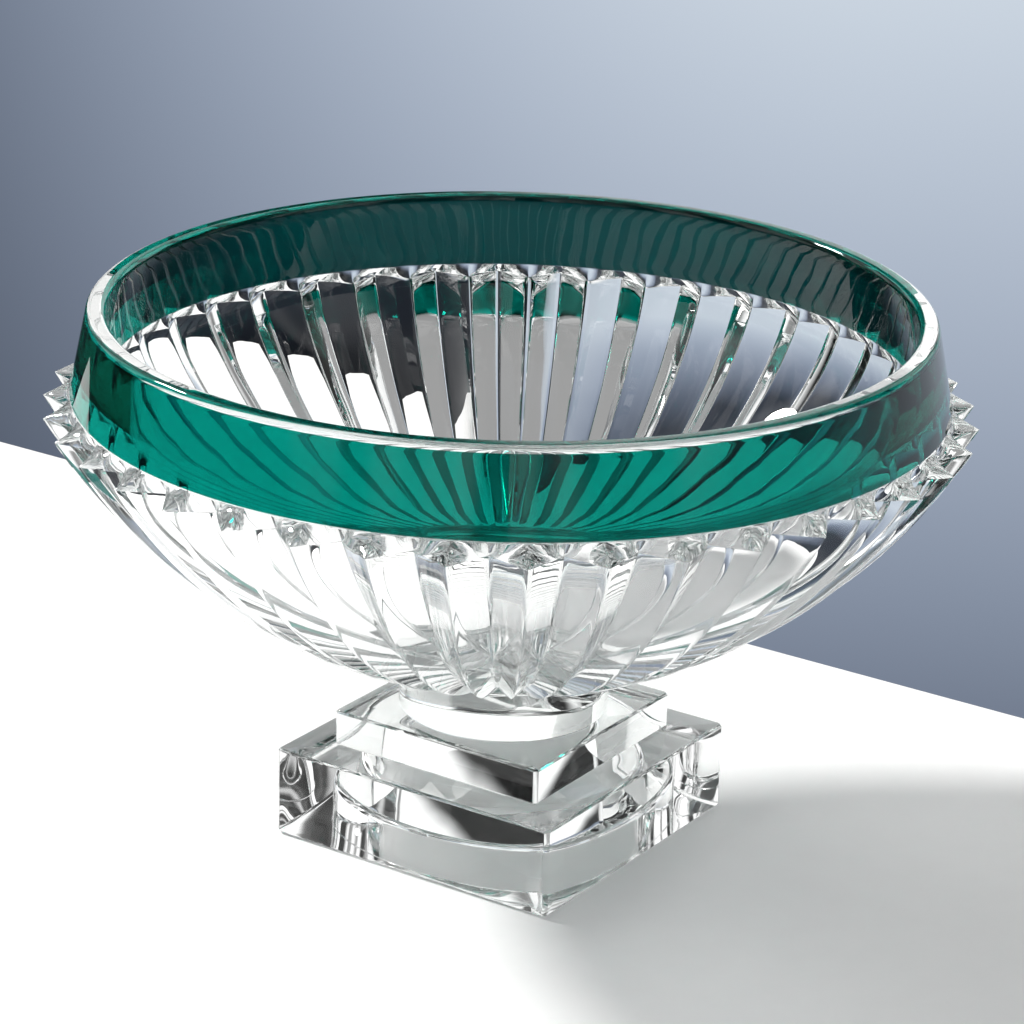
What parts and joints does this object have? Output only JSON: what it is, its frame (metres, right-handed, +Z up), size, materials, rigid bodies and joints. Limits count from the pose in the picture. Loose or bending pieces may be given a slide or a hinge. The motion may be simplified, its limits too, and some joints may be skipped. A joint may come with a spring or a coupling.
{
  "type": "art glass bowl",
  "caption": "Footed crystal centrepiece bowl with a ribbed sunburst underside, an emerald glass collar band, a short round neck and a stepped square foot.",
  "frame": {"origin": "centre of the square foot's underside, on the surface that the bowl stands on", "axes": "+Z up along the bowl's axis; X and Y square to the sides of the foot"},
  "size_m": [0.288, 0.288, 0.173],
  "materials": {
    "crystal": "clear, polished",
    "emerald_glass": "transparent emerald, polished",
    "clear_bond": "clear, smooth"
  },
  "bodies": {
    "root": {"crystal_bowl": "crystal", "emerald_band": "emerald_glass", "bowl_bond": "clear_bond", "neck_drum": "crystal", "drum_bond": "clear_bond", "upper_plinth": "crystal", "plinth_bond": "clear_bond", "lower_plinth": "crystal"}
  },
  "joints": []
}
